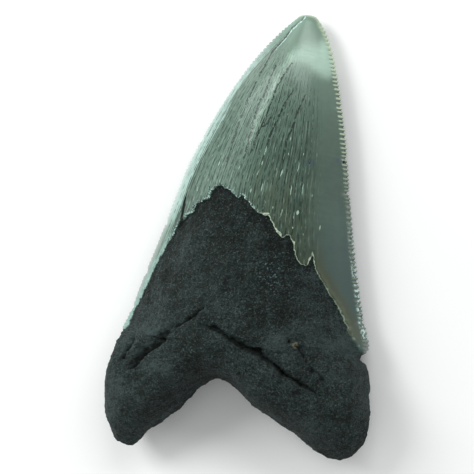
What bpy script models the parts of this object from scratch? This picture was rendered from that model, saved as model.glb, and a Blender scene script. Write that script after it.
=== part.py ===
"""Megalodon tooth, grown as one piece: enamel crown, dark collar and two-lobed root.

The tooth lies on its labial face with the lingual face up.  +Y runs to the crown tip, +X to the
steeper cutting edge and +Z up; the origin is under the middle of its bounding box.
"""
import math

import bmesh
import bpy
import numpy as np
from mathutils import Vector

for old in list(bpy.data.objects):
    bpy.data.objects.remove(old, do_unlink=True)

MM = 0.001

# ---- driving dimensions, in millimetres ------------------------------------------------------
CUTTING_EDGE_Z = 3.0       # height of the cutting edges over the resting plane
TIP_Z = 2.3                # height of the tip
ROOT_EDGE_Z = 6.2          # height of the root's widest line
ROOT_ROUND = 5.4           # rounding of the root's border, seen from above
TIP_ROUND = 1.3            # rounding of the tip
TIP_BOW = 0.35             # how far the tip's last row bows outwards
MAX_THICKNESS = 16.6       # lingual bulge of the root, the thickest place
ARCH_DROP = 1.6            # how much lower the lingual face is above the arch
LOBE_DROP = 7.5            # how much lower still it is at the lobe ends
SERRATION_DEPTH = 0.36     # peak to valley
LABIAL_HOLLOW = 1.0        # how far the labial face lifts off the floor between its rests
TIP_HOLLOW = 0.5           # how much further it lifts under the tip

# the outline seen from above, from the end of each lobe to the tip
LEFT_ROOT = [(-18.7, -36.4), (-21.8, -35.2), (-23.1, -32.2), (-23.7, -27.6), (-23.6, -23.4),
             (-22.5, -19.0), (-20.7, -15.9)]
LEFT_CROWN = [(-20.7, -15.9), (-18.5, -9.4), (-15.1, -1.4), (-13.0, 3.8), (-9.6, 12.0),
              (-5.0, 20.3), (0.5, 28.4), (5.6, 34.0), (10.0, 37.7)]
RIGHT_ROOT = [(17.2, -37.7), (21.0, -36.4), (22.5, -33.0), (23.0, -28.5), (22.6, -23.4),
              (21.2, -20.5)]
RIGHT_CROWN = [(21.2, -20.5), (22.4, -18.6), (21.2, -13.6), (19.9, -4.2), (19.0, 6.0),
               (18.2, 16.5), (16.7, 27.0), (15.0, 34.0), (13.1, 37.4)]
ARCH = [(-18.7, -36.4), (-16.7, -34.6), (-14.6, -32.4), (-10.6, -30.0), (-8.0, -26.9),
        (-5.6, -25.3), (-3.1, -23.3), (-1.1, -24.9), (1.2, -26.5), (3.8, -29.4), (9.9, -32.9),
        (13.6, -35.7), (17.2, -37.7)]

# the crest of the lingual face: (position from the shoulders, 0, to the tip, 1) and height
CREST = [(0.0, 15.9), (0.12, 15.2), (0.3, 13.5), (0.45, 11.9), (0.6, 9.9), (0.74, 8.05),
         (0.80, 7.1), (0.85, 6.0), (0.90, 4.9), (0.95, 4.05), (1.0, 3.3)]
# the lingual face across the crown: (place from the middle, 0, to the edge, 1) and share of the
# crest's height.  Each starts past the middle so that the two halves meet without a ridge.
LEFT_SECTION = [(-0.3, 0.95), (0, 1), (0.3, 0.95), (0.55, 0.81), (0.8, 0.50), (0.91, 0.28), (1, 0)]
RIGHT_SECTION = [(-0.3, 0.97), (0, 1), (0.25, 0.95), (0.5, 0.77), (0.75, 0.43), (0.9, 0.17), (1, 0)]
TIP_SECTION = [(-0.3, 0.95), (0, 1), (0.25, 0.92), (0.5, 0.69), (0.75, 0.38), (0.9, 0.16), (1, 0)]
# the three worn places it rests on: x, y and how widely the face swells down to them
RESTS = [(8.6, 15.0, 6.8), (-15.8, -25.4, 6.5), (15.8, -26.8, 6.5)]

# ---- shares and counts, without a unit --------------------------------------------------------
CROWN_ROWS = 42            # rows of facets from the crown's shoulders to its tip
ROOT_ROWS = 13             # rows from the lobe ends to the shoulders
COLUMNS = 20               # facets across the tooth
ROWS = CROWN_ROWS + ROOT_ROWS
LABIAL_POWER = 2.6         # how flat the labial face stays towards the cutting edges
REST_SHARE = 1.45          # over 1, so that each rest is worn truly flat
EVENING_TURNS = 12         # times that the stations beside the arch are evened out
CUTS_PER_FACET = 4         # serration steps on each facet of a cutting edge

ACROSS = np.linspace(-1, 1, COLUMNS + 1)                # -1 left edge, 1 right edge
RISE = (np.arange(ROWS + 1) - ROOT_ROWS) / CROWN_ROWS   # 0 shoulders, 1 tip, negative in the root
CROWN_AT = np.clip(RISE, 0, 1)
LOBE_AT = np.clip(-RISE * CROWN_ROWS / ROOT_ROWS, 0, 1)   # 0 shoulders, 1 lobe ends


def smooth_curve(points, count):
    """A curve through the points, cut into equal lengths."""
    p = np.array(points, float)
    p = np.vstack([2 * p[0] - p[1], p, 2 * p[-1] - p[-2]])
    curve = []
    for a, b, c, d in zip(p, p[1:], p[2:], p[3:]):
        for t in np.arange(0, 1, 0.05):
            curve.append(0.5 * (2 * b + (c - a) * t + (2 * a - 5 * b + 4 * c - d) * t ** 2
                                + (3 * b - a - 3 * c + d) * t ** 3))
    curve = np.array(curve + [p[-2]])
    run = np.append(0, np.cumsum(np.linalg.norm(np.diff(curve, axis=0), axis=1)))
    at = np.linspace(0, run[-1], count + 1)
    return np.stack([np.interp(at, run, curve[:, k]) for k in (0, 1)], 1)


def ramp(lo, hi, value):
    """0 at lo, 1 at hi, with a soft start and end."""
    t = np.clip((value - lo) / (hi - lo), 0, 1)
    return t * t * (3 - 2 * t)


def outline():
    """The left side, the right side and the arch, as stations in millimetres."""
    left = np.vstack([smooth_curve(LEFT_ROOT, ROOT_ROWS)[:-1], smooth_curve(LEFT_CROWN, CROWN_ROWS)])
    right = np.vstack([smooth_curve(RIGHT_ROOT, ROOT_ROWS)[:-1],
                       smooth_curve(RIGHT_CROWN, CROWN_ROWS)])
    return left, right, smooth_curve(ARCH, COLUMNS)


def strung_between(left, right, arch):
    """Rows of stations between the two sides, bent by the arch below the shoulders."""
    share = (ACROSS + 1) / 2
    plan = left[:, None] * (1 - share)[None, :, None] + right[:, None] * share[None, :, None]
    side_y = (left[:, 1] + right[:, 1]) / 2
    below = np.clip((side_y[ROOT_ROWS] - side_y) / (side_y[ROOT_ROWS] - side_y[0]), 0, 1)
    bow = arch - (arch[0] * (1 - share)[:, None] + arch[-1] * share[:, None])
    plan += below[:, None, None] * bow[None]
    plan[:, :, 1] += (TIP_BOW * CROWN_AT ** 8)[:, None] * (1 - ACROSS ** 2)[None]
    in_lobes = ramp(0.2, 0.8, LOBE_AT)[1:-1, None, None]
    beside_arch = ramp(0.4, 0.7, np.abs(ACROSS))[None, 1:-1, None]
    for turn in range(EVENING_TURNS):
        even = (plan[:-2, 1:-1] + plan[2:, 1:-1] + plan[1:-1, :-2] + plan[1:-1, 2:]) / 4
        plan[1:-1, 1:-1] += 0.5 * in_lobes * beside_arch * (even - plan[1:-1, 1:-1])
    return plan


def round_border(plan, left, right, arch):
    """Draw stations near the border outwards on a quarter circle; also how full each place is."""
    rim = np.vstack([left, plan[-1, 1:-1], right[::-1], arch[::-1][1:-1]])
    side_round = ROOT_ROUND * ramp(0.04, -0.14, RISE) + TIP_ROUND * ramp(0.97, 1, RISE)
    between = COLUMNS - 1
    rim_round = np.concatenate([
        side_round, np.full(between, TIP_ROUND), side_round[::-1], np.full(between, ROOT_ROUND)])
    points = plan.reshape(-1, 2)
    run = np.roll(rim, -1, axis=0) - rim
    share = np.einsum("pqk,qk->pq", points[:, None] - rim[None], run) / (run ** 2).sum(1)
    share = np.clip(share, 0, 1)
    gap = points[:, None] - (rim[None] + share[..., None] * run[None])
    nearest = np.linalg.norm(gap, axis=2).argmin(1)
    each = np.arange(len(points))
    gap, share = gap[each, nearest], share[each, nearest]
    distance = np.linalg.norm(gap, axis=1)
    radius = rim_round[nearest] * (1 - share) + np.roll(rim_round, -1)[nearest] * share
    radius = np.maximum(radius, 1e-6)
    angle = np.minimum(distance / radius, 1) * math.pi / 2
    drawn = np.where(distance < radius, radius * (1 - np.cos(angle)), distance)
    points = points + gap / np.maximum(distance, 1e-9)[:, None] * (drawn - distance)[:, None]
    return points.reshape(plan.shape), np.sin(angle).reshape(plan.shape[:2])


def edge_heights():
    """How high the outline itself lies, one value for each row."""
    height = CUTTING_EDGE_Z + (TIP_Z - CUTTING_EDGE_Z) * ramp(0.5, 1, CROWN_AT)
    return height + (ROOT_EDGE_Z - CUTTING_EDGE_Z) * ramp(0.03, -0.15, RISE)


def lingual_heights(edge, rooty, fullness):
    """The fuller face: a rounded body between two blades, swelling to the root."""
    bulge = MAX_THICKNESS - (MAX_THICKNESS - CREST[0][1]) * ramp(0.5, 0, LOBE_AT)
    drop = (ARCH_DROP + LOBE_DROP * ACROSS[None] ** 2) * ramp(-0.15, 0.95, LOBE_AT)[:, None]
    in_crown = np.interp(CROWN_AT, *smooth_curve(CREST, 120).T)[:, None]
    crest = np.where(RISE[:, None] > 0, in_crown, bulge[:, None] - drop)
    left_half, right_half, tip_half = [np.interp(np.abs(ACROSS)[None], *smooth_curve(section, 80).T)
                                       for section in (LEFT_SECTION, RIGHT_SECTION, TIP_SECTION)]
    swell = np.where(ACROSS[None] < 0, left_half, right_half)
    swell = swell + (tip_half - swell) * ramp(0.70, 0.86, RISE)[:, None]
    swell = swell * (1 - rooty ** 2) + rooty ** 2
    return edge + (crest - edge) * swell * fullness


def labial_heights(edge, rooty, fullness, plan):
    """The flatter face: a shallow hollow that comes down to three worn rests."""
    hollow = LABIAL_HOLLOW + TIP_HOLLOW * ramp(0.8, 1.0, CROWN_AT)[:, None]
    near_rest = [np.exp(-((plan - (x, y)) ** 2).sum(2) / (2 * r * r)) for x, y, r in RESTS]
    hollow = hollow * (1 - REST_SHARE * np.max(near_rest, axis=0))
    flatness = (1 - np.abs(ACROSS)[None] ** LABIAL_POWER) * (1 - rooty) + rooty
    return np.maximum(edge - (edge - hollow) * flatness * fullness, 0)


def two_skins(plan, lingual, labial):
    """Facets of both faces, which share the stations on the outline."""
    bm = bmesh.new()
    top, bottom = {}, {}
    for j in range(ROWS + 1):
        for i in range(COLUMNS + 1):
            x, y = plan[j, i]
            top[j, i] = bm.verts.new((x * MM, y * MM, lingual[j, i] * MM))
            if j in (0, ROWS) or i in (0, COLUMNS):
                bottom[j, i] = top[j, i]
            else:
                bottom[j, i] = bm.verts.new((x * MM, y * MM, labial[j, i] * MM))
    for j in range(ROWS):
        for i in range(COLUMNS):
            for skin in (top, bottom):
                quad = [skin[j, i], skin[j, i + 1], skin[j + 1, i + 1], skin[j + 1, i]]
                if skin is bottom:
                    quad.reverse()
                if j == 0 and i in (0, COLUMNS - 1):    # at a lobe's end, cut toward the inside
                    inside = skin[1, 1] if i == 0 else skin[1, COLUMNS - 1]
                    k = quad.index(inside)
                    bm.faces.new([quad[k], quad[k - 3], quad[k - 2]])
                    bm.faces.new([quad[k], quad[k - 2], quad[k - 1]])
                else:
                    bm.faces.new(quad)
    return bm, top


def serrate(bm, top):
    """Cut every facet of the cutting edges, and push the cuts out and in by turns."""
    for i, side in ((0, -1), (COLUMNS, 1)):
        for j in range(ROOT_ROWS + 2, ROWS - 1):
            lower, upper = top[j, i], top[j + 1, i]
            start, run = lower.co.copy(), upper.co - lower.co
            out = side * Vector((run.y, -run.x, 0)).normalized()
            for cut in range(1, CUTS_PER_FACET):
                share = 1 / (CUTS_PER_FACET + 1 - cut)
                lower = bmesh.utils.edge_split(bm.edges.get((lower, upper)), lower, share)[1]
                push = 0.5 if cut % 2 else -0.5
                lower.co = start + run * cut / CUTS_PER_FACET + out * (push * SERRATION_DEPTH * MM)


def fossil_material():
    """Grey-green enamel's mean colour, for the whole tooth."""
    fossil = bpy.data.materials.new("fossil_enamel_and_root")
    fossil.use_nodes = True
    shader = fossil.node_tree.nodes["Principled BSDF"]
    shader.inputs["Base Color"].default_value = (0.085, 0.120, 0.100, 1)
    shader.inputs["Roughness"].default_value = 0.45
    shader.inputs["Metallic"].default_value = 0.0
    return fossil


def make_tooth():
    """The whole tooth, as one closed solid named tooth."""
    left, right, arch = outline()
    plan, fullness = round_border(strung_between(left, right, arch), left, right, arch)
    rooty = ramp(0.17, -0.16, RISE)[:, None]            # 0 in the crown, 1 in the root
    edge = edge_heights()[:, None]
    lingual = lingual_heights(edge, rooty, fullness)
    labial = labial_heights(edge, rooty, fullness, plan)
    middle = (plan.min(axis=(0, 1)) + plan.max(axis=(0, 1))) / 2
    bm, top = two_skins(plan - middle, lingual, labial)
    serrate(bm, top)
    bmesh.ops.triangulate(bm, faces=bm.faces[:], quad_method="BEAUTY", ngon_method="BEAUTY")
    bmesh.ops.recalc_face_normals(bm, faces=bm.faces[:])
    mesh = bpy.data.meshes.new("tooth")
    bm.to_mesh(mesh)
    bm.free()
    mesh.materials.append(fossil_material())
    tooth = bpy.data.objects.new("tooth", mesh)
    bpy.context.scene.collection.objects.link(tooth)
    print("facets", len(mesh.polygons), "middle of the outline", middle.round(3))


make_tooth()
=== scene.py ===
# %% [markdown]
# # A megalodon tooth, lying on a pale table
#
# The real thing is one mineralised tooth: a glossy grey-green enamel crown with saw edges, and a
# matt, nearly black root with two lobes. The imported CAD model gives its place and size. This
# lesson shapes a finer tooth in the same place, sculpts the enamel's torn border and the root's
# cracks into it, and builds the materials from nodes.

# %% The frame
import math
import bpy
import numpy as np
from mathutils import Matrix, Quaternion, Vector, noise


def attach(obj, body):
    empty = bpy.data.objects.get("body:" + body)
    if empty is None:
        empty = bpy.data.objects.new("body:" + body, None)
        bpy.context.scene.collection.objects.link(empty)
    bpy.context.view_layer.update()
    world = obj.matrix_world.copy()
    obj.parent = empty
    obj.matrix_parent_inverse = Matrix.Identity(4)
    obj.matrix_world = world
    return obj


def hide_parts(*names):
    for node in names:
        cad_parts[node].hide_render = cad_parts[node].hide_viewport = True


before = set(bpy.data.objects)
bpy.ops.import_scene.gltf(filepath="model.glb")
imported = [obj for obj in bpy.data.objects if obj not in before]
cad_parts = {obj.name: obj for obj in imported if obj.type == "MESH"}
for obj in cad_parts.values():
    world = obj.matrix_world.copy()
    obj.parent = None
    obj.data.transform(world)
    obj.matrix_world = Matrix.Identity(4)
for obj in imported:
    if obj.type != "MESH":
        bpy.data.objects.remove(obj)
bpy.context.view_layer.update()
MM = 0.001


def read(items, name, width=1, kind=float):
    """One property of all points, edges or corners of a mesh, as an array with a row for each."""
    values = np.empty(len(items) * width, kind)
    items.foreach_get(name, values)
    return values.reshape(-1, width) if width > 1 else values


def pick(*objects):
    """Select these objects and no others; the last one becomes the active one."""
    bpy.ops.object.select_all(action="DESELECT")
    for ob in objects:
        ob.select_set(True)
    bpy.context.view_layer.objects.active = objects[-1]


# %% [markdown]
# ## The outline
#
# Seen from above a shark's tooth is a leaning triangle on two root lobes. Its outline could be
# drawn as curves and filled, but a filled outline has no grain: the crown's cracks and growth
# lines run from the tip to the base, so the sheet of mesh should run that way too. The outline is
# therefore kept as a left side, a right side and the arch between the lobes, in millimetres, and
# rows of points are strung between the two sides like the rungs of a ladder.

# %% The outline's sides, from each lobe's end to the tip
LEFT_ROOT = [(-18.7, -36.4), (-21.8, -35.2), (-23.1, -32.2), (-23.7, -27.6), (-23.6, -23.4),
             (-22.5, -19.0), (-20.7, -15.9)]
LEFT_CROWN = [(-20.7, -15.9), (-18.5, -9.4), (-15.1, -1.4), (-13.0, 3.8), (-9.6, 12.0),
              (-5.0, 20.3), (0.5, 28.4), (5.6, 34.0), (10.0, 37.7)]
RIGHT_ROOT = [(17.2, -37.7), (21.0, -36.4), (22.5, -33.0), (23.0, -28.5), (22.6, -23.4),
              (21.2, -20.5)]
RIGHT_CROWN = [(21.2, -20.5), (22.4, -18.6), (21.2, -13.6), (19.9, -4.2), (19.0, 6.0),
               (18.2, 16.5), (16.7, 27.0), (15.0, 34.0), (13.1, 37.4)]
ARCH = [(-18.7, -36.4), (-16.7, -34.6), (-14.6, -32.4), (-10.6, -30.0), (-8.0, -26.9),
        (-5.6, -25.3), (-3.1, -23.3), (-1.1, -24.9), (1.2, -26.5), (3.8, -29.4), (9.9, -32.9),
        (13.6, -35.7), (17.2, -37.7)]
CROWN_ROWS, ROOT_ROWS, COLUMNS = 34, 9, 16
ROWS = CROWN_ROWS + ROOT_ROWS
TIP_BOW = 0.35                                           # how far the tip's last row bows outwards
TIP_TOP = 37.95                                          # where that bow ends
CURVE_STEP = 0.05                                        # of the way between two marked points


def smooth_curve(points, count):
    """A curve through the points, cut into equal lengths."""
    p = np.array(points, float)
    p = np.vstack([2 * p[0] - p[1], p, 2 * p[-1] - p[-2]])
    curve = []
    for a, b, c, d in zip(p, p[1:], p[2:], p[3:]):
        for t in np.arange(0, 1, CURVE_STEP):
            curve.append(0.5 * (2 * b + (c - a) * t + (2 * a - 5 * b + 4 * c - d) * t ** 2
                                + (3 * b - a - 3 * c + d) * t ** 3))
    curve = np.array(curve + [p[-2]])
    run = np.append(0, np.cumsum(np.linalg.norm(np.diff(curve, axis=0), axis=1)))
    at = np.linspace(0, run[-1], count + 1)
    return np.stack([np.interp(at, run, curve[:, k]) for k in (0, 1)], 1)


def ramp(lo, hi, value):
    """0 at lo, 1 at hi, with a soft start and end."""
    t = np.clip((value - lo) / (hi - lo), 0, 1)
    return t * t * (3 - 2 * t)


left = np.vstack([smooth_curve(LEFT_ROOT, ROOT_ROWS)[:-1], smooth_curve(LEFT_CROWN, CROWN_ROWS)])
right = np.vstack([smooth_curve(RIGHT_ROOT, ROOT_ROWS)[:-1],
                   smooth_curve(RIGHT_CROWN, CROWN_ROWS)])
arch = smooth_curve(ARCH, COLUMNS)
MIDDLE = np.array([(left[:, 0].min() + right[:, 0].max()) / 2, (right[0, 1] + TIP_TOP) / 2])
print("rows", ROWS, "columns", COLUMNS, "middle of the outline", MIDDLE.round(2))

# %% [markdown]
# ## The sheet
#
# A grid primitive has rows and columns already. Each of its points is sent to its place on the
# ladder of rows, and those near the lobes' ends are smoothed, because two sides of the grid meet
# there in one round corner. A Subdivision Surface modifier then cuts every face into 64, which
# gives a fine sheet with a smooth outline. The grid's own UV map goes along: it says, everywhere
# on the tooth, how far across and how far along a point is, and the enamel's grain will follow it.

# %% Grid to sheet
bpy.ops.object.select_all(action="DESELECT")
bpy.ops.mesh.primitive_grid_add(x_subdivisions=COLUMNS, y_subdivisions=ROWS, size=2)
sheet = bpy.context.object
sheet.name = "tooth_sheet"
corners = read(sheet.data.vertices, "co", 3)
column = np.rint((corners[:, 0] + 1) / 2 * COLUMNS).astype(int)
row = np.rint((corners[:, 1] + 1) / 2 * ROWS).astype(int)
share = (column / COLUMNS)[:, None]
side_y = (left[:, 1] + right[:, 1]) / 2
below = np.clip((side_y[ROOT_ROWS] - side_y) / (side_y[ROOT_ROWS] - side_y[0]), 0, 1)
above = np.clip((row - ROOT_ROWS) / CROWN_ROWS, 0, 1)              # 0 shoulders, 1 tip
bow = arch[column] - (arch[0] * (1 - share) + arch[-1] * share)
plan = left[row] * (1 - share) + right[row] * share + bow * below[row][:, None]
plan[:, 1] += TIP_BOW * above ** 8 * (1 - (2 * share[:, 0] - 1) ** 2)
corners[:, :2] = (plan - MIDDLE) * MM
sheet.data.vertices.foreach_set("co", corners.ravel())
print("stations", len(corners))

# %% Even out the lobes' ends, then subdivide
LOBE_ROWS, LOBE_FROM = 4, 0.55                           # rows evened out, share from the middle
SMOOTH_FACTOR, SMOOTH_TURNS, FINENESS = 0.5, 8, 3
bpy.ops.object.mode_set(mode="EDIT")
bpy.ops.mesh.select_all(action="DESELECT")
bpy.ops.object.mode_set(mode="OBJECT")
beside_the_arch = np.abs(2 * column / COLUMNS - 1) > LOBE_FROM
inner = beside_the_arch & (column > 0) & (column < COLUMNS) & (row > 0) & (row < LOBE_ROWS)
sheet.data.vertices.foreach_set("select", inner)
bpy.ops.object.mode_set(mode="EDIT")
bpy.ops.mesh.vertices_smooth(factor=SMOOTH_FACTOR, repeat=SMOOTH_TURNS)
bpy.ops.object.mode_set(mode="OBJECT")
finer = sheet.modifiers.new("finer", "SUBSURF")
finer.levels = finer.render_levels = FINENESS
finer.uv_smooth = "NONE"
finer.boundary_smooth = "ALL"
bpy.ops.object.modifier_apply(modifier=finer.name)
print("fine points", len(sheet.data.vertices), "faces", len(sheet.data.polygons))

# %% [markdown]
# ## Thickness
#
# Lying down, the tooth is a sheet that was blown up. Its lingual face, on top, is a steep rounded
# body with a smooth flat blade beside each cutting edge, and it swells to a thick root. Its labial
# face, below, is nearly flat. Both heights are worked out from a point's place on the sheet, so
# every section stays true at any fineness. The root's border is round: points near it are drawn
# outwards along a quarter circle, which gives the rounding enough points.

# %% Heights and sections, in millimetres
CUTTING_EDGE_Z, TIP_Z, ROOT_EDGE_Z = 3.0, 2.3, 6.2       # height of the outline itself
ROOT_ROUND, TIP_ROUND = 5.4, 1.3                         # rounding of the border, seen from above
MAX_THICKNESS, ARCH_DROP, LOBE_DROP = 16.6, 1.6, 7.5
# the lingual crest from the shoulders, 0, to the tip, 1; then shares of it from middle to edge
CREST = [(0.0, 15.9), (0.12, 15.2), (0.3, 13.5), (0.45, 11.9), (0.6, 9.9), (0.74, 8.05),
         (0.80, 7.1), (0.85, 6.0), (0.90, 4.9), (0.95, 4.05), (1.0, 3.3)]
LEFT_SECTION = [(-0.3, 0.95), (0, 1), (0.3, 0.95), (0.55, 0.81), (0.8, 0.50), (0.91, 0.28), (1, 0)]
RIGHT_SECTION = [(-0.3, 0.97), (0, 1), (0.25, 0.95), (0.5, 0.77), (0.75, 0.43), (0.9, 0.17), (1, 0)]
TIP_SECTION = [(-0.3, 0.95), (0, 1), (0.25, 0.92), (0.5, 0.69), (0.75, 0.38), (0.9, 0.16), (1, 0)]
RESTS = [(8.6, 15.0, 6.8), (-15.8, -25.4, 6.5), (15.8, -26.8, 6.5)]   # x, y, how widely it swells
LABIAL_HOLLOW, TIP_HOLLOW, PAD_SHARE = 1.0, 0.5, 1.45    # a share over 1 wears a rest truly flat
LABIAL_POWER = 2.6                                       # how flat the labial face stays
print("crest from", CREST[0][1], "to", CREST[-1][1], "mm")

# %% Where each point of the sheet is
flat = read(sheet.data.vertices, "co", 3)[:, :2] / MM
uv = np.empty((len(flat), 2))
uv[read(sheet.data.loops, "vertex_index", kind=int)] = read(sheet.data.uv_layers[0].data, "uv", 2)
across = uv[:, 0] * 2 - 1                                # -1 left edge, 1 right edge
rise = (uv[:, 1] * ROWS - ROOT_ROWS) / CROWN_ROWS        # 0 shoulders, 1 tip, negative in the root
crown_at = np.clip(rise, 0, 1)
lobe_at = np.clip(-rise * CROWN_ROWS / ROOT_ROWS, 0, 1)
on_rim = (uv.min(1) < 1e-4) | (uv.max(1) > 1 - 1e-4)
print("rim points", on_rim.sum())

# %% The rim, and distances to lines
def rim_loop():
    """The rim's points in order: up the left side, over the tip, down the right, by the arch."""
    sides = []
    for fixed, value, way in ((0, 0, 1), (1, 1, 1), (0, 1, -1), (1, 0, -1)):
        at = np.flatnonzero(np.abs(uv[:, fixed] - value) < 1e-4)
        at = at[np.argsort(uv[at, 1 - fixed])][::way]
        sides.append(at[:-1])
    return np.concatenate(sides)


def nearest_on_line(points, line, closed=False):
    """Distance, side (+1 left of the line's run, -1 right), piece and nearest point on a line."""
    line = np.array(line, float)
    a = line if closed else line[:-1]
    b = np.roll(line, -1, axis=0) if closed else line[1:]
    best = np.full(len(points), 1e9)
    side = np.ones(len(points))
    piece = np.zeros(len(points), int)
    foot = np.zeros((len(points), 2))
    for k, (p, q) in enumerate(zip(a, b)):
        run = q - p
        t = np.clip(((points - p) @ run) / (run @ run), 0, 1)
        near = p + t[:, None] * run
        gap = points - near
        d = np.hypot(gap[:, 0], gap[:, 1])
        closer = d < best
        best[closer] = d[closer]
        piece[closer] = k
        foot[closer] = near[closer]
        turn = run[0] * (points[:, 1] - p[1]) - run[1] * (points[:, 0] - p[0])
        side[closer] = np.where(turn[closer] >= 0, 1, -1)
    return best, side, piece, foot


rim = rim_loop()
print("rim points in order", len(rim))

# %% Round the border
rim_round = ROOT_ROUND * ramp(0.04, -0.14, rise[rim])
rim_round = rim_round + TIP_ROUND * ramp(0.97, 1.0, rise[rim])
coarse = slice(None, None, 2)
rim_line = flat[rim][coarse]
to_rim, _, rim_piece, rim_foot = nearest_on_line(flat, rim_line, closed=True)
piece_lengths = np.hypot(*(np.roll(rim_line, -1, axis=0) - rim_line).T)
along_rim = np.append(0, np.cumsum(piece_lengths))[rim_piece]
along_rim = along_rim + np.hypot(*(rim_foot - rim_line[rim_piece]).T)
radius = np.maximum(rim_round[coarse][rim_piece], 1e-6)
angle = np.clip(to_rim / radius, 0, 1) * math.pi / 2
drawn = np.where(to_rim < radius, radius * (1 - np.cos(angle)), to_rim)
outward = (flat - rim_foot) / np.maximum(to_rim, 1e-9)[:, None]
flat = flat + outward * (drawn - to_rim)[:, None]
fullness = np.sin(angle)
fullness[on_rim] = 0
print("length of the rim", along_rim.max().round(1), "mm")

# %% Lingual and labial heights
rooty = ramp(0.17, -0.16, rise)                          # 0 in the crown, 1 in the root
crest = np.interp(crown_at, *smooth_curve(CREST, 120).T)
bulge = MAX_THICKNESS - (MAX_THICKNESS - CREST[0][1]) * ramp(0.5, 0, lobe_at)
drop = (ARCH_DROP + LOBE_DROP * across ** 2) * ramp(-0.15, 0.95, lobe_at)
crest = np.where(rise > 0, crest, bulge - drop)
from_middle = np.abs(across)
left_half, right_half, tip_half = [np.interp(from_middle, *smooth_curve(section, 80).T)
                                   for section in (LEFT_SECTION, RIGHT_SECTION, TIP_SECTION)]
swell = np.where(across < 0, left_half, right_half)
swell = swell + (tip_half - swell) * ramp(0.70, 0.86, rise)
swell = swell * (1 - rooty ** 2) + rooty ** 2
edge_z = CUTTING_EDGE_Z + (TIP_Z - CUTTING_EDGE_Z) * ramp(0.5, 1, crown_at)
edge_z = edge_z + (ROOT_EDGE_Z - CUTTING_EDGE_Z) * ramp(0.03, -0.15, rise)
lingual_z = edge_z + (crest - edge_z) * swell * fullness

hollow = LABIAL_HOLLOW + TIP_HOLLOW * ramp(0.8, 1, crown_at)
near_rest = [np.exp(-((flat + MIDDLE - (x, y)) ** 2).sum(1) / (2 * r * r)) for x, y, r in RESTS]
hollow = hollow * (1 - PAD_SHARE * np.max(near_rest, axis=0))
flatness = (1 - from_middle ** LABIAL_POWER) * (1 - rooty) + rooty
labial_z = np.maximum(edge_z - (edge_z - hollow) * flatness * fullness, 0)
print("thickest", round((lingual_z - labial_z).max(), 2), "mm")

# %% [markdown]
# ## Where the enamel ends, and where the root is cracked
#
# The crown's enamel is a shell about half a millimetre thick. On the lingual face it ends in a
# torn, stepped line shaped like a tent, and the dark collar below it is bare. Such a line could be
# painted, but it is a real step that catches light, so it has to be in the mesh as well. The line
# is kept as the points a restorer would mark while looking at the tooth on its display side: each
# point of the sheet is first seen from there, and its distance to the line is stored with it. The
# sculpting below and the material both read that distance, so step and colour always agree.

# %% The enamel's borders
ENAMEL_BORDER = [
    (-60, -15.5), (-19.2, -15.5), (-18.7, -14.9), (-16.1, -9.7), (-13.9, -4.9), (-12.6, -2.6),
    (-11.5, -0.6), (-10.9, 0.3), (-10.35, 1.5), (-9.9, 2.05), (-9.6, 2.6), (-8.9, 3.2),
    (-8.35, 3.75), (-7.5, 4.3), (-7.2, 4.9), (-6.8, 5.7), (-6.0, 6.0),
    (-5.4, 6.3), (-4.8, 6.6), (-4.5, 7.2), (-4.6, 8.0), (-4.0, 8.0), (-3.5, 8.6), (-2.7, 8.9),
    (-2.3, 8.4), (-1.1, 8.0), (-0.6, 7.5), (-0.2, 6.9), (0.3, 6.8), (0.9, 7.2), (1.2, 6.7),
    (1.8, 6.3), (2.2, 5.7), (3.1, 4.7), (3.9, 3.9), (4.7, 3.8), (5.2, 3.7), (5.6, 3.2), (6.1, 2.3),
    (6.5, 1.4), (7.0, 0.6), (7.7, -0.3), (8.6, 0.4), (9.0, 0.2), (9.3, -0.5), (9.6, -1.1),
    (9.7, -2.1), (10.1, -3.4), (10.5, -4.3), (11.1, -4.8), (11.8, -4.9), (12.3, -4.3), (12.6, -3.7),
    (12.75, -2.5), (13.0, -3.4), (13.1, -4.3), (13.4, -5.5), (13.9, -6.6), (14.5, -7.5),
    (15.4, -9.2), (16.4, -10.7), (17.5, -12.6), (18.4, -14.7), (19.3, -16.9), (20.1, -18.4),
    (20.7, -19.4), (21.6, -20.0), (60, -20.0)]
LABIAL_BORDER = [
    (-60, -15.8), (-20.6, -15.8), (-18, -14.8), (-14.4, -12.6), (-9, -10.8), (-4, -9.6),
    (0, -9.2), (5, -9.9), (10, -11.6), (15, -14.6), (19, -18.2), (21.4, -20.2), (60, -20.2)]
BEYOND_THE_TIP = [(60, 60), (-60, 60)]
print("marked points", len(ENAMEL_BORDER), "and", len(LABIAL_BORDER))

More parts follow.
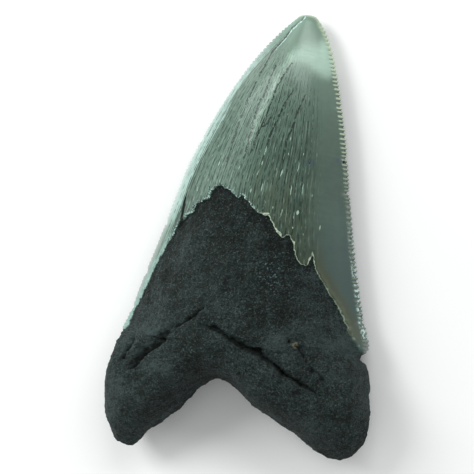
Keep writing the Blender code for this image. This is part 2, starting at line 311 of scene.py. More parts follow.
# %% Cracks, growth lines and flecks
ROOT_CRACKS = [                                          # points, reach above, reach below, depth
    ([(-6.5, -14.7), (-5.2, -15.2), (-3.9, -15.6), (-3.0, -16.2), (-2.0, -17.0), (-1.1, -17.6),
      (0.3, -18.5), (1.9, -19.2), (3.5, -19.9), (4.8, -20.6), (6.0, -21.2), (6.6, -21.9),
      (7.3, -22.7), (8.6, -23.8), (9.8, -24.4), (11.1, -25.2), (12.4, -26.0), (13.9, -27.1)],
     0.38, 0.28, 1.0),
    ([(0.6, -18.8), (2.0, -19.4), (3.6, -20.2), (4.9, -20.9), (6.2, -21.6), (7.6, -23.0),
      (8.8, -24.0)], 0.62, 0.50, 0.6),
    ([(-5.2, -11.7), (-6.5, -12.5), (-7.4, -13.5), (-8.4, -14.3), (-9.6, -14.9), (-10.6, -15.5),
      (-11.5, -16.3), (-12.5, -17.4), (-13.4, -18.1), (-14.4, -18.7), (-15.5, -19.6),
      (-16.6, -20.8), (-17.6, -21.7), (-18.5, -22.3), (-19.5, -23.1)], 0.50, 0.10, 1.0),
    ([(-12.6, -16.9), (-13.8, -18.0), (-14.9, -18.9), (-16.2, -20.1), (-17.2, -21.2)],
     1.45, 0.20, 1.0),
    ([(-17.7, -16.2), (-18.6, -17.6), (-19.3, -18.9), (-19.8, -19.8), (-20.3, -20.6)],
     0.36, 0.26, 1.1),
    ([(-2.0, -17.3), (-1.5, -18.9), (-1.0, -20.8), (-0.2, -22.7)], 0.12, 0.12, 0.22),
    ([(-1.3, -15.1), (-1.1, -16.2), (-1.3, -17.4)], 0.16, 0.16, 0.3),
    ([(9.1, -17.2), (10.1, -18.7), (11.1, -19.8), (12.4, -21.7), (13.0, -22.4), (14.2, -23.6),
      (15.1, -24.9)], 0.26, 0.22, 0.5),
    ([(-21.6, -21.3), (-22.0, -23.3)], 0.2, 0.12, 0.3),
    ([(20.9, -20.3), (19.9, -19.9), (19.0, -19.2)], 0.16, 0.16, 0.35)]
GROWTH_LINES = [
    [(11.5, 37.4), (9.7, 35.7), (8.0, 33.4), (6.2, 31.5), (5.2, 29.6), (3.8, 27.3), (3.1, 25.6),
     (2.0, 23.3), (1.2, 21.2), (0.5, 19.5), (-0.1, 17.6), (-0.7, 15.8), (-1.6, 12.8)],
    [(6.7, 29.1), (6.2, 27.9), (5.6, 26.4), (4.7, 24.2), (3.6, 22.2), (3.0, 19.9), (2.6, 18.2),
     (2.0, 16.5), (1.3, 13.5)],
    [(9.4, 29.6), (8.5, 28.2), (7.6, 26.7), (6.6, 24.7), (5.9, 22.8), (4.9, 20.4), (4.1, 18.6),
     (3.4, 16.9), (2.5, 14.5)],
    [(9.4, 24.6), (8.2, 22.7), (7.5, 21.2), (6.7, 19.7), (6.2, 18.3), (5.6, 16.9), (5.0, 14.8)],
    [(11.5, 23.9), (10.1, 20.7), (9.6, 19.0), (8.4, 16.2), (7.8, 13.1)],
    [(5.8, 20.3), (5.2, 19.3), (4.7, 18.9)]]
EDGE_SPLIT = [(-6.6, 12.2), (-7.3, 10.1), (-7.9, 8.6), (-8.35, 7.6), (-8.8, 6.3), (-9.15, 4.1),
              (-9.5, 2.6), (-10.0, 1.8)]
# Where a slightly raised ridge runs, with a painted highlight streak along it.
RIDGE_SHEEN_LINE = [(9.3, 30.7), (8.3, 29.1), (7.4, 27.1), (6.4, 24.9), (5.4, 23.2), (4.7, 21.8),
              (3.8, 20.1), (2.6, 16.9), (1.6, 14.0)]
FLECKS = [                                               # two ends and half width of each stroke
    ((5.15, 15.7), (4.65, 13.7), 0.10), ((4.5, 13.0), (4.15, 12.1), 0.10),
    ((3.9, 11.6), (3.3, 10.2), 0.07), ((7.9, 11.6), (7.25, 10.1), 0.11),
    ((8.8, 14.4), (8.7, 13.8), 0.08), ((11.3, 14.4), (11.2, 13.8), 0.10),
    ((10.9, 13.2), (9.9, 10.3), 0.06), ((9.2, 17.1), (9.0, 16.3), 0.08),
    ((4.5, 9.4), (4.1, 7.5), 0.09), ((2.5, 8.4), (2.3, 7.4), 0.09), ((9.3, 9.0), (9.0, 6.9), 0.08),
    ((11.3, 9.5), (10.9, 6.8), 0.08), ((7.8, 5.0), (7.2, 3.0), 0.08),
    ((9.4, 1.8), (9.4, 1.3), 0.14), ((14.1, 2.1), (13.9, 1.0), 0.12),
    ((12.7, 7.3), (12.6, 6.7), 0.08), ((6.1, 5.3), (6.0, 4.7), 0.08),
    ((10.3, 4.6), (10.2, 3.6), 0.24), ((-2.8, 13.0), (-3.1, 12.0), 0.08),
    ((0.6, 12.3), (0.3, 11.3), 0.08)]
BLUE_SPOTS = [((12.35, 12.6), (1.0, 0.75)), ((17.5, 12.9), (1.0, 0.55))]  # place, half widths
PALE_PATCHES = [((6.7, -17.9), (2.1, 1.4)), ((-12.6, -16.0), (2.4, 0.9)),
                ((-14.0, -22.4), (3.0, 1.1)), ((16.0, -18.6), (4.0, 1.3))]
print("cracks", len(ROOT_CRACKS), "growth lines", len(GROWTH_LINES), "flecks", len(FLECKS))

# %% Seen from the display side
DISPLAY_TILT = math.radians(15)
DISPLAY_DISTANCE = 336.5                                 # from the viewer to the tooth, in mm
DISPLAY_CENTRE = np.array([0.0, 0.0, 6.0])
TOWARDS_VIEWER = np.array([math.sin(DISPLAY_TILT), 0, math.cos(DISPLAY_TILT)])


def seen(points, z):
    """Points of the tooth, in mm, on the plane that faces someone looking at its display side."""
    q = np.column_stack([points + MIDDLE, z]) - DISPLAY_CENTRE
    rightwards = np.array([math.cos(DISPLAY_TILT), 0, -math.sin(DISPLAY_TILT)])
    closer = DISPLAY_DISTANCE / (DISPLAY_DISTANCE - q @ TOWARDS_VIEWER)
    return np.column_stack([q @ rightwards * closer, q[:, 1] * closer])


def enclosed(points, loop):
    """True for the points inside a closed loop."""
    inside_loop = np.zeros(len(points), bool)
    for (x1, y1), (x2, y2) in zip(loop, loop[1:] + loop[:1]):
        if y1 == y2:
            continue
        crosses = (y1 > points[:, 1]) != (y2 > points[:, 1])
        at = x1 + (points[:, 1] - y1) * (x2 - x1) / (y2 - y1)
        inside_loop ^= crosses & (points[:, 0] < at)
    return inside_loop


def enamel_distance(points, border):
    """Millimetres into the enamel from its border; negative on the collar and root."""
    away = nearest_on_line(points, border)[0]
    return np.where(enclosed(points, border + BEYOND_THE_TIP), away, -away)


def crack_distance(points, line, wander):
    """Signed distance to a wandering line: its size is the distance, its sign the side."""
    away, side = nearest_on_line(points + wander, line)[:2]
    return away * side


def spot(points, place, half_width):
    """1 at a place, fading to 0 within about two half widths."""
    return np.exp(-(((points - place) / half_width) ** 2).sum(1))


view_plane = seen(flat, lingual_z)
print("seen from", round(view_plane[:, 1].min(), 1), "to", round(view_plane[:, 1].max(), 1), "mm")

# %% [markdown]
# ## Sculpting the two faces
#
# On a real tooth the relief comes from damage and growth: the enamel's torn step, drying cracks
# across the root, a rough patch where its skin has flaked, wide swellings. A sculptor would stamp
# each with a brush. Here each is a small function of a point's distance to a marked line or spot,
# and all are added up and pushed along the surface's own direction. Nothing moves at the rim, so
# that the two faces still meet there.

# %% Pits and lumps, and the noise that wears them
ENAMEL_STEP, SPLIT_DEPTH, RIDGE_HEIGHT = 0.42, 0.16, 0.10
STEP_HALF = 0.16                                         # mm over which the step falls, each way
GROOVE_SHARE, SLOPE_SHARE = 0.75, 0.35                   # of a crack's depth
FAR = 9.0                                                # mm, where no line is near
SPOTS = [                                                # place, half width, depth: pits and chips
    ((9.0, -17.8), 0.45, 0.7), ((11.3, -20.1), 0.48, 0.4), ((12.9, -22.7), 0.55, 0.4),
    ((14.4, -24.0), 0.42, 0.35), ((18.3, 12.8), 0.32, 0.15), ((-7.3, -15.9), 0.35, 0.3),
    ((2.6, -13.4), 0.25, 0.2), ((-17.0, -19.2), 1.3, 0.45), ((-2.0, -20.6), 1.2, 0.35),
    ((16.6, -31.0), 0.8, 0.3), ((-18.4, -30.0), 0.7, 0.3),
    ((12.35, 12.85), 0.17, 0.10), ((12.32, 12.45), 0.17, 0.10)]
BUMPS = [((6.7, -17.9), 1.6, 0.30), ((-11.6, -16.0), 2.2, 0.27)]    # place, half width, height
TAN_KNOB, TAN_HALF, TAN_HEIGHT = (9.95, -18.45), (0.62, 0.80), 0.35
ROUGH_PATCH, PATCH_RADIUS = (11.6, -21.4), 4.2
PATCH_LUMPS, PATCH_GRIT = 0.45, 0.25                     # heights in it


def waves(points, z, size, seed):
    """Soft noise, about -1 to 1, with features of the given size in mm."""
    offset = Vector((seed * 7.3, seed * 3.1, seed * 5.7))
    return np.array([noise.noise(Vector(p) / size + offset)
                     for p in np.column_stack([points, z]).tolist()])


def shaken(size, reach, seed):
    """How far noise pushes each point of the lingual face aside, in mm."""
    return np.column_stack([waves(flat, lingual_z, size, seed),
                            waves(flat, lingual_z, size, seed + 1)]) * reach


wobble = shaken(0.8, 0.20, 1)
jagged = shaken(0.4, 0.16, 11)
crack_wander = shaken(1.4, 1.0, 3)
ragged = np.clip(1 + 0.9 * waves(flat, lingual_z, 0.7, 7), 0.5, 2)
print("widest wobble", np.abs(wobble).max().round(2), "mm")

# %% Enamel step, root cracks and pits
enamel_top = enamel_distance(view_plane + wobble + jagged, ENAMEL_BORDER)
crack_top = np.zeros(len(flat))
relief_top = ENAMEL_STEP * (ramp(-STEP_HALF, STEP_HALF, enamel_top) - 0.5)
for line, reach_above, reach_below, depth in ROOT_CRACKS:
    signed = crack_distance(view_plane, line, crack_wander * 0.30 + jagged * 1.4)
    rightward = line[-1][0] > line[0][0]
    above_line = signed > 0 if rightward else signed < 0
    to_ends = np.min([np.hypot(*(view_plane - end).T) for end in (line[0], line[-1])], axis=0)
    taper = 0.4 + 0.6 * ramp(0, 0.12 * np.hypot(*np.subtract(line[-1], line[0])), to_ends)
    reach = np.where(above_line, reach_above, reach_below) * ragged * taper
    groove = taper * np.exp(-(np.abs(signed) / reach) ** 1.6)
    slope = np.exp(-(np.abs(signed) / (4 * reach_above)) ** 2) * above_line
    relief_top -= depth * (GROOVE_SHARE * groove + SLOPE_SHARE * slope)
    crack_top = np.maximum(crack_top, groove * min(1, depth * 1.2))
for place, half_width, depth in SPOTS:
    pit = spot(view_plane + wobble, place, half_width)
    relief_top -= depth * pit
    crack_top = np.maximum(crack_top, 0.7 * pit * (half_width < 0.7))
for place, half_width, height in BUMPS:
    relief_top += height * spot(view_plane, place, half_width)
tan_knob = spot(view_plane + jagged, TAN_KNOB, TAN_HALF)
relief_top += TAN_HEIGHT * tan_knob
in_patch = spot(view_plane, ROUGH_PATCH, PATCH_RADIUS)
relief_top += in_patch * (PATCH_LUMPS * waves(flat, lingual_z, 1.5, 5)
                          + PATCH_GRIT * waves(flat, lingual_z, 0.7, 6))
print("points in cracks", int((crack_top > 0.5).sum()))

# %% Growth lines, the ridge with its painted highlight, flecks and the split
growth_top = np.full(len(flat), FAR)
for line in GROWTH_LINES:
    signed = crack_distance(view_plane, line, wobble * 0.6)
    growth_top = np.where(np.abs(signed) < np.abs(growth_top), signed, growth_top)
along_ridge = np.abs(crack_distance(view_plane, RIDGE_SHEEN_LINE, wobble * 0.3))
ridge_top = np.exp(-(along_ridge / 0.60) ** 2) * ramp(13.0, 19.0, view_plane[:, 1])
relief_top += RIDGE_HEIGHT * ridge_top
fleck_mm = np.full(len(flat), FAR)
fleck_half = np.full(len(flat), -1.0)
for one_end, other_end, half_width in FLECKS:
    run = np.subtract(other_end, one_end)
    offset = view_plane + jagged * 0.5 - one_end
    along = (offset @ run) / (run @ run)
    beside = (offset[:, 0] * run[1] - offset[:, 1] * run[0]) / np.hypot(*run)
    here = (np.abs(along - 0.5) < 0.9) & (np.abs(beside) < np.minimum(0.8, np.abs(fleck_mm)))
    fleck_mm[here] = beside[here]
    fleck_half[here] = half_width * (1.05 - 1.4 * np.abs(2 * along - 1) ** 2)[here]
blue_spot = np.max([spot(view_plane, *each) for each in BLUE_SPOTS], axis=0)
pale_patch = np.max([spot(view_plane + crack_wander, *each) for each in PALE_PATCHES], axis=0)
opening = ramp(8.2, 5.2, view_plane[:, 1])
split_half = 0.14 + 0.08 * opening
split_top = np.exp(-(crack_distance(view_plane, EDGE_SPLIT, jagged * 0.5) / split_half) ** 2)
split_top *= 0.42 + 0.58 * opening
relief_top -= SPLIT_DEPTH * split_top * opening
crack_top = np.maximum(crack_top, split_top)
print("relief", relief_top.min().round(2), "to", relief_top.max().round(2), "mm")

# %% Relief of the labial face
LABIAL_PORES = [(-6.5, -18.0), (-1.8, -20.6), (3.4, -18.8), (8.2, -21.5), (-12.0, -22.0)]
PORE_HALF, PORE_DEPTH = 0.45, 0.6
LABIAL_CRACKS = [([(-1.0, 4.0), (0.4, 12.0), (2.6, 19.0), (5.2, 25.0)], 0.14, 0.2),
                 ([(8.0, -4.0), (8.6, 5.0), (10.0, 12.0)], 0.12, 0.18),
                 ([(-16.0, -17.5), (-9.0, -15.8), (-2.0, -16.6), (5.0, -16.0)], 0.25, 0.4)]
from_above = flat + MIDDLE
enamel_under = enamel_distance(from_above + wobble * 1.6, LABIAL_BORDER)
relief_under = 0.7 * ENAMEL_STEP * (ramp(-STEP_HALF, STEP_HALF, enamel_under) - 0.5)
crack_under = np.zeros(len(flat))
for line, half_width, depth in LABIAL_CRACKS:
    away = np.abs(crack_distance(from_above, line, crack_wander * 0.5))
    groove = np.exp(-(away / half_width) ** 2)
    relief_under -= depth * groove
    crack_under = np.maximum(crack_under, groove)
for place in LABIAL_PORES:
    pit = spot(from_above, place, PORE_HALF)
    relief_under -= PORE_DEPTH * pit
    crack_under = np.maximum(crack_under, pit)
print("labial relief", relief_under.min().round(2), "to", relief_under.max().round(2), "mm")

# %% Place of every point in the rhythm of the saw
PITCH, SLANT = 0.75, 0.25                                # of the serrations, in mm, and their lean
saw_jitter = np.array([0.8 * noise.noise(Vector((r * 0.21, 3.0, 8.0)))
                       + 0.25 * noise.noise(Vector((r * 0.9, 5.0, 1.0)))
                       for r in along_rim.tolist()])
saw_phase = along_rim / PITCH + saw_jitter + SLANT * to_rim / PITCH
print("serrations round the whole rim", int(saw_phase.max()))


# %% Two faces with their marks
def face(name, z, relief, marks):
    """One face of the tooth: a copy of the sheet at its heights, with its relief and its marks."""
    pick(sheet)
    bpy.ops.object.duplicate()
    ob = bpy.context.object
    ob.name = name
    if name == "labial":
        bpy.ops.object.mode_set(mode="EDIT")
        bpy.ops.mesh.select_all(action="SELECT")
        bpy.ops.mesh.flip_normals()
        bpy.ops.object.mode_set(mode="OBJECT")
    points = np.column_stack([flat, z])
    ob.data.vertices.foreach_set("co", (points * MM).ravel())
    ob.data.update()
    relief = relief * ramp(0, 0.7, to_rim) * (1 - 0.6 * ramp(0.9, 1, rise))
    points = points + read(ob.data.vertex_normals, "vector", 3) * relief[:, None]
    points[:, 2] = np.maximum(points[:, 2], 0)
    ob.data.vertices.foreach_set("co", (points * MM).ravel())
    for mark, values in marks.items():
        ob.data.attributes.new(mark, "FLOAT", "POINT").data.foreach_set("value", values)
    return ob


nothing = np.zeros(len(flat))
shared = {"to_rim": to_rim, "rise": rise, "saw": saw_phase}
lingual = face("lingual", lingual_z, relief_top, {
    **shared, "enamel_mm": np.clip(enamel_top, -3, 3), "crack": crack_top, "rough": in_patch,
    "growth_mm": growth_top, "fleck_mm": fleck_mm, "fleck_half": fleck_half, "ridge": ridge_top,
    "blue_spot": blue_spot, "pale_patch": pale_patch, "tan": tan_knob})
labial = face("labial", labial_z, relief_under, {
    **shared, "enamel_mm": np.clip(enamel_under, -3, 3), "crack": crack_under,
    "growth_mm": nothing + FAR, "fleck_mm": nothing + FAR, "fleck_half": nothing - 1,
    **dict.fromkeys(("rough", "ridge", "blue_spot", "pale_patch", "tan"), nothing)})
print(lingual.name, labial.name, "points each", len(flat))

# %% [markdown]
# ## One closed tooth
#
# Both faces share the outline, so joining the two objects and merging the doubled points along it
# gives one closed skin. The normals are then recalculated, because one wrong face would show as a
# dark patch.

# %% Join and merge
pick(labial, lingual)
bpy.ops.object.join()
tooth = bpy.context.object
tooth.name = "fossil_tooth"
tooth.data.name = "fossil_tooth"
bpy.data.objects.remove(sheet, do_unlink=True)
bpy.ops.object.mode_set(mode="EDIT")
bpy.ops.mesh.select_all(action="SELECT")
bpy.ops.mesh.remove_doubles(threshold=0.00001)
bpy.ops.mesh.normals_make_consistent(inside=False)
bpy.ops.mesh.select_all(action="DESELECT")
bpy.ops.object.mode_set(mode="OBJECT")
print("joined points", len(tooth.data.vertices))


def mark_values(name):
    """A mark stored on the tooth's points."""
    return read(tooth.data.attributes[name].data, "value")


def move_points(points):
    """Put the tooth's points at these places, in mm."""
    tooth.data.vertices.foreach_set("co", (points * MM).ravel())
    tooth.data.update()


# %% [markdown]
# ## The saw edges
#
# Both cutting edges carry fine serrations, a little over one to a millimetre, with round crowns and
# narrow notches. Extruding hundreds of teeth would be clumsy and too regular. Instead the strip of
# faces along each edge is subdivided once more, and its points are pulled out and in by a wave of
# the distance run along the edge. The pull fades out within a millimetre, as the real notches do.
# A few chips, pulled in further, break the rhythm where the edge was damaged.

# %% A finer strip along each cutting edge
FINER_ON_TOP, FINER_UNDERNEATH = 0.55, 0.22              # widths of the strips, in mm
edge_ends = read(tooth.data.edges, "vertices", 2, int)
near_rim = mark_values("to_rim")[edge_ends]
rise_ends = mark_values("rise")[edge_ends]
climbs = np.abs(np.diff(rise_ends, axis=1))[:, 0] > 0.5 / (CROWN_ROWS * 8)
underneath = read(tooth.data.vertex_normals, "vector", 3)[edge_ends, 2].min(1) < 0
finer_within = np.where(underneath, FINER_UNDERNEATH, FINER_ON_TOP)
strip = (near_rim.max(1) < finer_within) & climbs & (rise_ends.min(1) > 0.01)
tooth.data.edges.foreach_set("select", strip)
bpy.ops.object.mode_set(mode="EDIT")
bpy.ops.mesh.select_mode(type="EDGE")
bpy.ops.mesh.subdivide(number_cuts=1)
bpy.ops.object.mode_set(mode="OBJECT")
print("triangles with the strips", sum(len(p.vertices) - 2 for p in tooth.data.polygons))

# %% Serrations and chips
RIGHT_DEPTH, LEFT_DEPTH, FADE = 0.38, 0.30, 0.75
GROOVE_DEPTH, GROOVE_REACH = 0.07, 0.8                   # grooves run in from the notches
CHIP_REACH = 1.3
CHIPS = [                                                # side, place, depth, half length
    (1, 13.2, 0.22, 0.45), (1, 7.4, 0.40, 0.40), (1, -20.6, 0.95, 0.6), (1, 22.0, 0.2, 0.3),
    (1, -14.4, 0.30, 0.35), (-1, -6.0, 0.30, 0.5), (-1, 2.5, 0.25, 0.4), (-1, -12.0, 0.3, 0.6),
    (-1, 17.0, 0.2, 0.3)]
points = read(tooth.data.vertices, "co", 3) / MM
near = np.flatnonzero((mark_values("to_rim") < CHIP_REACH) & (mark_values("rise") > -0.1))
edge_line = flat[rim]
away, _, piece, foot = nearest_on_line(points[near, :2], edge_line, closed=True)
direction = (np.roll(edge_line, -1, axis=0) - edge_line)[piece]
direction = direction / np.hypot(*direction.T)[:, None]
outwards = np.column_stack([-direction[:, 1], direction[:, 0]])
is_right = outwards[:, 0] > 0
wear_and_sheen = np.array([noise.noise(Vector((y * 0.09, 9.0, 2.0))) for y in foot[:, 1].tolist()])
phase = mark_values("saw")[near]
rise_near = mark_values("rise")[near]
depth = np.where(is_right, RIGHT_DEPTH, LEFT_DEPTH) * (0.85 + 0.5 * wear_and_sheen)
depth *= ramp(0.0, 0.04, rise_near) * ramp(1.0, 0.93, rise_near)
pull = depth * (np.abs(np.sin(np.pi * phase)) ** 0.8 - 0.62) * ramp(FADE, 0, away)
for hand, y, chip_depth, half in CHIPS:
    on_this_side = is_right if hand > 0 else ~is_right
    beside = on_this_side * np.exp(-((foot[:, 1] + MIDDLE[1] - y) / half) ** 2)
    pull -= chip_depth * beside * ramp(CHIP_REACH, 0, away)
sunk = GROOVE_DEPTH * np.cos(np.pi * phase) ** 2 * ramp(GROOVE_REACH, 0.3, away)
sunk *= depth / RIGHT_DEPTH
points[near] -= read(tooth.data.vertex_normals, "vector", 3)[near] * sunk[:, None]
points[near, :2] += outwards * pull[:, None]
move_points(points)
print("points moved beside the cutting edges", len(near))

# %% [markdown]
# ## Weathered root
#
# Bone-like root is lumpy in the large and sandy in the small. Displace modifiers with Clouds
# textures give both without a brush. Vertex groups hold the lumps off the enamel and the enamel's
# own slight swelling off the root, and the worn places the tooth rests on are pressed flat again
# afterwards.

# %% Where the root and the crown are
WEIGHT_STEPS = 20
bare = ramp(0.2, -0.4, mark_values("enamel_mm"))
off_rim = ramp(0.0, 0.6, mark_values("to_rim"))
blade_rim = ramp(0.0, -0.12, mark_values("rise"))
holds = np.maximum(off_rim, blade_rim)
for name, weight in (("root", bare * holds), ("crown", (1 - bare) * off_rim)):
    group = tooth.vertex_groups.new(name=name)
    steps = np.rint(weight * WEIGHT_STEPS).astype(int)
    for k in range(1, WEIGHT_STEPS + 1):
        group.add(np.flatnonzero(steps == k).tolist(), k / WEIGHT_STEPS, "REPLACE")
    print(name, "points", int((steps > 0).sum()))


# %% Lumps and grain
def displace(name, group, size, strength, depth):
    """Push the surface in and out by a Clouds texture, in millimetres, where the group says."""
    clouds = bpy.data.textures.new(name, "CLOUDS")
    clouds.noise_scale = size * MM
    clouds.noise_depth = depth
    push = tooth.modifiers.new(name, "DISPLACE")
    push.texture = clouds
    push.texture_coords = "LOCAL"
    push.vertex_group = group
    push.mid_level = 0.5
    push.strength = strength * MM
    bpy.context.view_layer.objects.active = tooth
    bpy.ops.object.modifier_apply(modifier=name)


displace("root_lumps", "root", 4.5, 0.8, 1)
displace("root_knobs", "root", 1.6, 0.42, 1)
displace("root_grain", "root", 0.55, 0.34, 2)
displace("crown_swell", "crown", 9.0, 0.20, 0)
WORN_FLAT_BELOW = 0.12                                   # mm above the table
points = read(tooth.data.vertices, "co", 3) / MM
resting = (points[:, 2] < WORN_FLAT_BELOW) & (mark_values("to_rim") > 1)
points[:, 2] = np.where(resting, 0, np.maximum(points[:, 2], 0))
move_points(points)
pick(tooth)
bpy.ops.object.shade_smooth()
print("points on the table", int((points[:, 2] <= 0).sum()))

# %% [markdown]
# ## Writing shaders as sums
#
# A material is a web of nodes, and a web is hard to read in code. The small class below wraps an
# output socket, so that `1 - mask` or `grain * 0.4 + stain` adds the Math nodes by itself. Every
# other kind of node comes from one method, which sets the node's own settings before its sockets.

# %% Wires between nodes
class Wire:
    """An output socket that can be reckoned with; each sum adds a Math node."""

    def __init__(self, tree, socket):
        self.tree = tree
        self.socket = socket

    def node(self, kind, settings=None, inputs=None, output=0):
        """Any node: its settings first, then values or links for its sockets."""
        made = self.tree.nodes.new(kind)
        for name, value in (settings or {}).items():
            setattr(made, name, value)
        for name, value in (inputs or {}).items():
            if isinstance(value, Wire):
                self.tree.links.new(value.socket, made.inputs[name])
            else:
                made.inputs[name].default_value = value
        return Wire(self.tree, made.outputs[output])

    def math(self, operation, first, second=0.0, clamp=False):
        return self.node("ShaderNodeMath", {"operation": operation, "use_clamp": clamp},
                         {0: first, 1: second})

    def __add__(self, other):
        return self.math("ADD", self, other)

    def __radd__(self, other):
        return self.math("ADD", other, self)

    def __sub__(self, other):
        return self.math("SUBTRACT", self, other)

    def __rsub__(self, other):
        return self.math("SUBTRACT", other, self)

    def __mul__(self, other):
        return self.math("MULTIPLY", self, other)

    def __rmul__(self, other):
        return self.math("MULTIPLY", other, self)

    def size(self):
        return self.math("ABSOLUTE", self)

    def fraction(self):
        return self.math("FRACT", self)

    def between(self, lo, hi, out_lo=0.0, out_hi=1.0):
        """A soft ramp from out_lo at lo to out_hi at hi."""
        return self.node("ShaderNodeMapRange", {"interpolation_type": "SMOOTHSTEP"},
                         {"Value": self, "From Min": lo, "From Max": hi,
                          "To Min": out_lo, "To Max": out_hi})

    def blend(self, low, high):
        """This mask mixes two colours."""
        return self.node("ShaderNodeMix", {"data_type": "RGBA"},
                         {"Factor": self, 6: low, 7: high}, output=2)

    def cloud(self, scale, detail=3.0, roughness=0.55, stretch=(1, 1, 1)):
        """Soft noise about 0.5, read along this vector; stretch squeezes it along each axis."""
        vector = self.node("ShaderNodeVectorMath", {"operation": "MULTIPLY"},
                           {0: self, 1: stretch})
        return self.node("ShaderNodeTexNoise", {"noise_dimensions": "3D"},
                         {"Vector": vector, "Scale": scale, "Detail": detail,
                          "Roughness": roughness})


print("sums that a wire knows:", "+ - *")

# %% Places and marks on the tooth
fossil = bpy.data.materials.new("enamel_and_root")
fossil.use_nodes = True
tree = fossil.node_tree
shader = tree.nodes["Principled BSDF"]
start = Wire(tree, None)
place_m = start.node("ShaderNodeTexCoord", output="Object")
place = start.node("ShaderNodeVectorMath", {"operation": "SCALE"},
                   {0: place_m, "Scale": 1 / MM})
grown = start.node("ShaderNodeUVMap", {"uv_map": tooth.data.uv_layers[0].name})
over = start.node("ShaderNodeSeparateXYZ", inputs={0: grown})      # 0 left edge, 1 right edge
up = Wire(tree, over.socket.node.outputs[1])                       # 0 lobe ends, 1 tip


def mark(name):
    """A mark stored on the tooth's points, as a value."""
    return start.node("ShaderNodeAttribute", {"attribute_name": name}, output="Fac")


enamel_mm, crack, growth_mm = mark("enamel_mm"), mark("crack"), mark("growth_mm")
rough, to_rim_mm, saw, ridge = mark("rough"), mark("to_rim"), mark("saw"), mark("ridge")
tan, blue_spot, pale_patch = mark("tan"), mark("blue_spot"), mark("pale_patch")
fleck_mm, fleck_half = mark("fleck_mm"), mark("fleck_half")
print("marks ready on", fossil.name)

# %% [markdown]
# ## Enamel
#
# Fossil enamel is a dense grey-green glaze, paler where it is thin: at the tip and along the
# blades.
# The arc-shaped band below the tip is a painted highlight, and the left blade's outer strip is
# partly a painted reflection. Fine dark growth cracks run from the tip to the base, broken into
# dashes, with whitish flecks between. Stretching noise along the grown UV map gives lines that fan
# out with the tooth, which noise in plain space would not do. Each zone is a mask, made by
# multiplying soft ramps over the two directions, and it mixes one more colour into what is there.

# %% Enamel: its colours
ENAMEL_DARK = (0.026, 0.047, 0.037, 1)
ENAMEL_MID = (0.068, 0.107, 0.084, 1)
ENAMEL_OLIVE = (0.056, 0.066, 0.036, 1)
ENAMEL_MINT = (0.105, 0.170, 0.135, 1)
ENAMEL_PALE = (0.158, 0.218, 0.178, 1)
HIGHLIGHT_PALE = (0.40, 0.515, 0.445, 1)
BLADE_PALE = (0.165, 0.270, 0.225, 1)
EDGE_PALE = (0.33, 0.43, 0.405, 1)
BLUE_STAIN = (0.046, 0.078, 0.080, 1)
BROWN_STAIN = (0.054, 0.045, 0.012, 1)
SLATE_STAIN = (0.038, 0.058, 0.086, 1)
TEAL_STAIN = (0.036, 0.068, 0.066, 1)
print("darkest", ENAMEL_DARK[:3], "palest", HIGHLIGHT_PALE[:3])

# %% Enamel: ground
streaks = grown.cloud(1.0, 3.0, 0.65, (58, 9, 1))
hairs = grown.cloud(1.0, 2.0, 0.6, (110, 16, 1))
clouds = place.cloud(0.13, 3.0, 0.5)
mottle = place.cloud(0.9, 3.0, 0.55)
fine = place.cloud(3.2, 3.0, 0.6)
ripples = grown.cloud(1.0, 2.0, 0.5, (7, 150, 1)) - 0.5
below_tip = (up + over * 0.16).between(1.0, 0.90)
in_body = (over + clouds * 0.06 - 0.03).between(0.88, 0.74) * below_tip
in_body *= over.between(0.015, 0.075)
brightness = (streaks * 0.50 + hairs * 0.50 - 0.50) * in_body + clouds * 0.5 + mottle * 0.25
brightness += up * 0.35 - over * 0.12 - up.between(0.62, 0.42) * 0.10
brightness += ripples * (0.22 - in_body * 0.20)
enamel = brightness.between(0.12, 0.67)
enamel = enamel.blend(ENAMEL_DARK, ENAMEL_MID)
mint = (over + clouds * 0.2).between(0.70, 0.42) * up.between(0.42, 0.62)
enamel = (mint * (0.15 + 0.5 * hairs)).blend(enamel, ENAMEL_MINT)
olive = grown.cloud(1.0, 2.0, 0.5, (14, 7, 1)).between(0.36, 0.60) * over.between(0.36, 0.52)
olive *= up.between(0.68, 0.55) * in_body
enamel = (olive * 0.48).blend(enamel, ENAMEL_OLIVE)
print("enamel ground mixed")

# %% Enamel: pale tip, and the painted highlight band below it
tip_way = up + clouds * 0.14 + mottle * 0.06 - 0.10
towards_tip = (tip_way + over.between(0.60, 0.35, 0.0, 0.06)).between(0.71, 0.96)
upper_right = up.between(0.64, 0.76) * over.between(0.42, 0.58)
enamel = (upper_right * 0.20).blend(enamel, ENAMEL_PALE)
enamel = (towards_tip * 0.9).blend(enamel, ENAMEL_PALE)
# The band below the tip is a painted highlight: a pale arc across the crown, added to the lamp's
# own reflection there.
band_at = up + (mottle - 0.5) * 0.008
dip = over.between(0.62, 0.88, 0.0, 0.022) - over.between(0.90, 0.98, 0.0, 0.014)
climb = over.between(0.78, 0.95, 0.0, 0.022) - over.between(0.66, 0.50, 0.0, 0.018)
highlight_band = (band_at + dip).between(0.850, 0.892) * (band_at - climb).between(0.942, 0.896)
highlight_band *= over.between(0.41, 0.50)
highlight_band *= (over.between(0.62, 0.90, 0.58, 0.96) + 0.3 * (fine - 0.5) + 0.5 * ripples)
enamel = highlight_band.blend(enamel, HIGHLIGHT_PALE)
very_tip = up.between(0.935, 0.972)                      # less coat here, and painted paler in place of its highlight
enamel = (very_tip * 0.12).blend(enamel, HIGHLIGHT_PALE)
print("tip and band mixed")

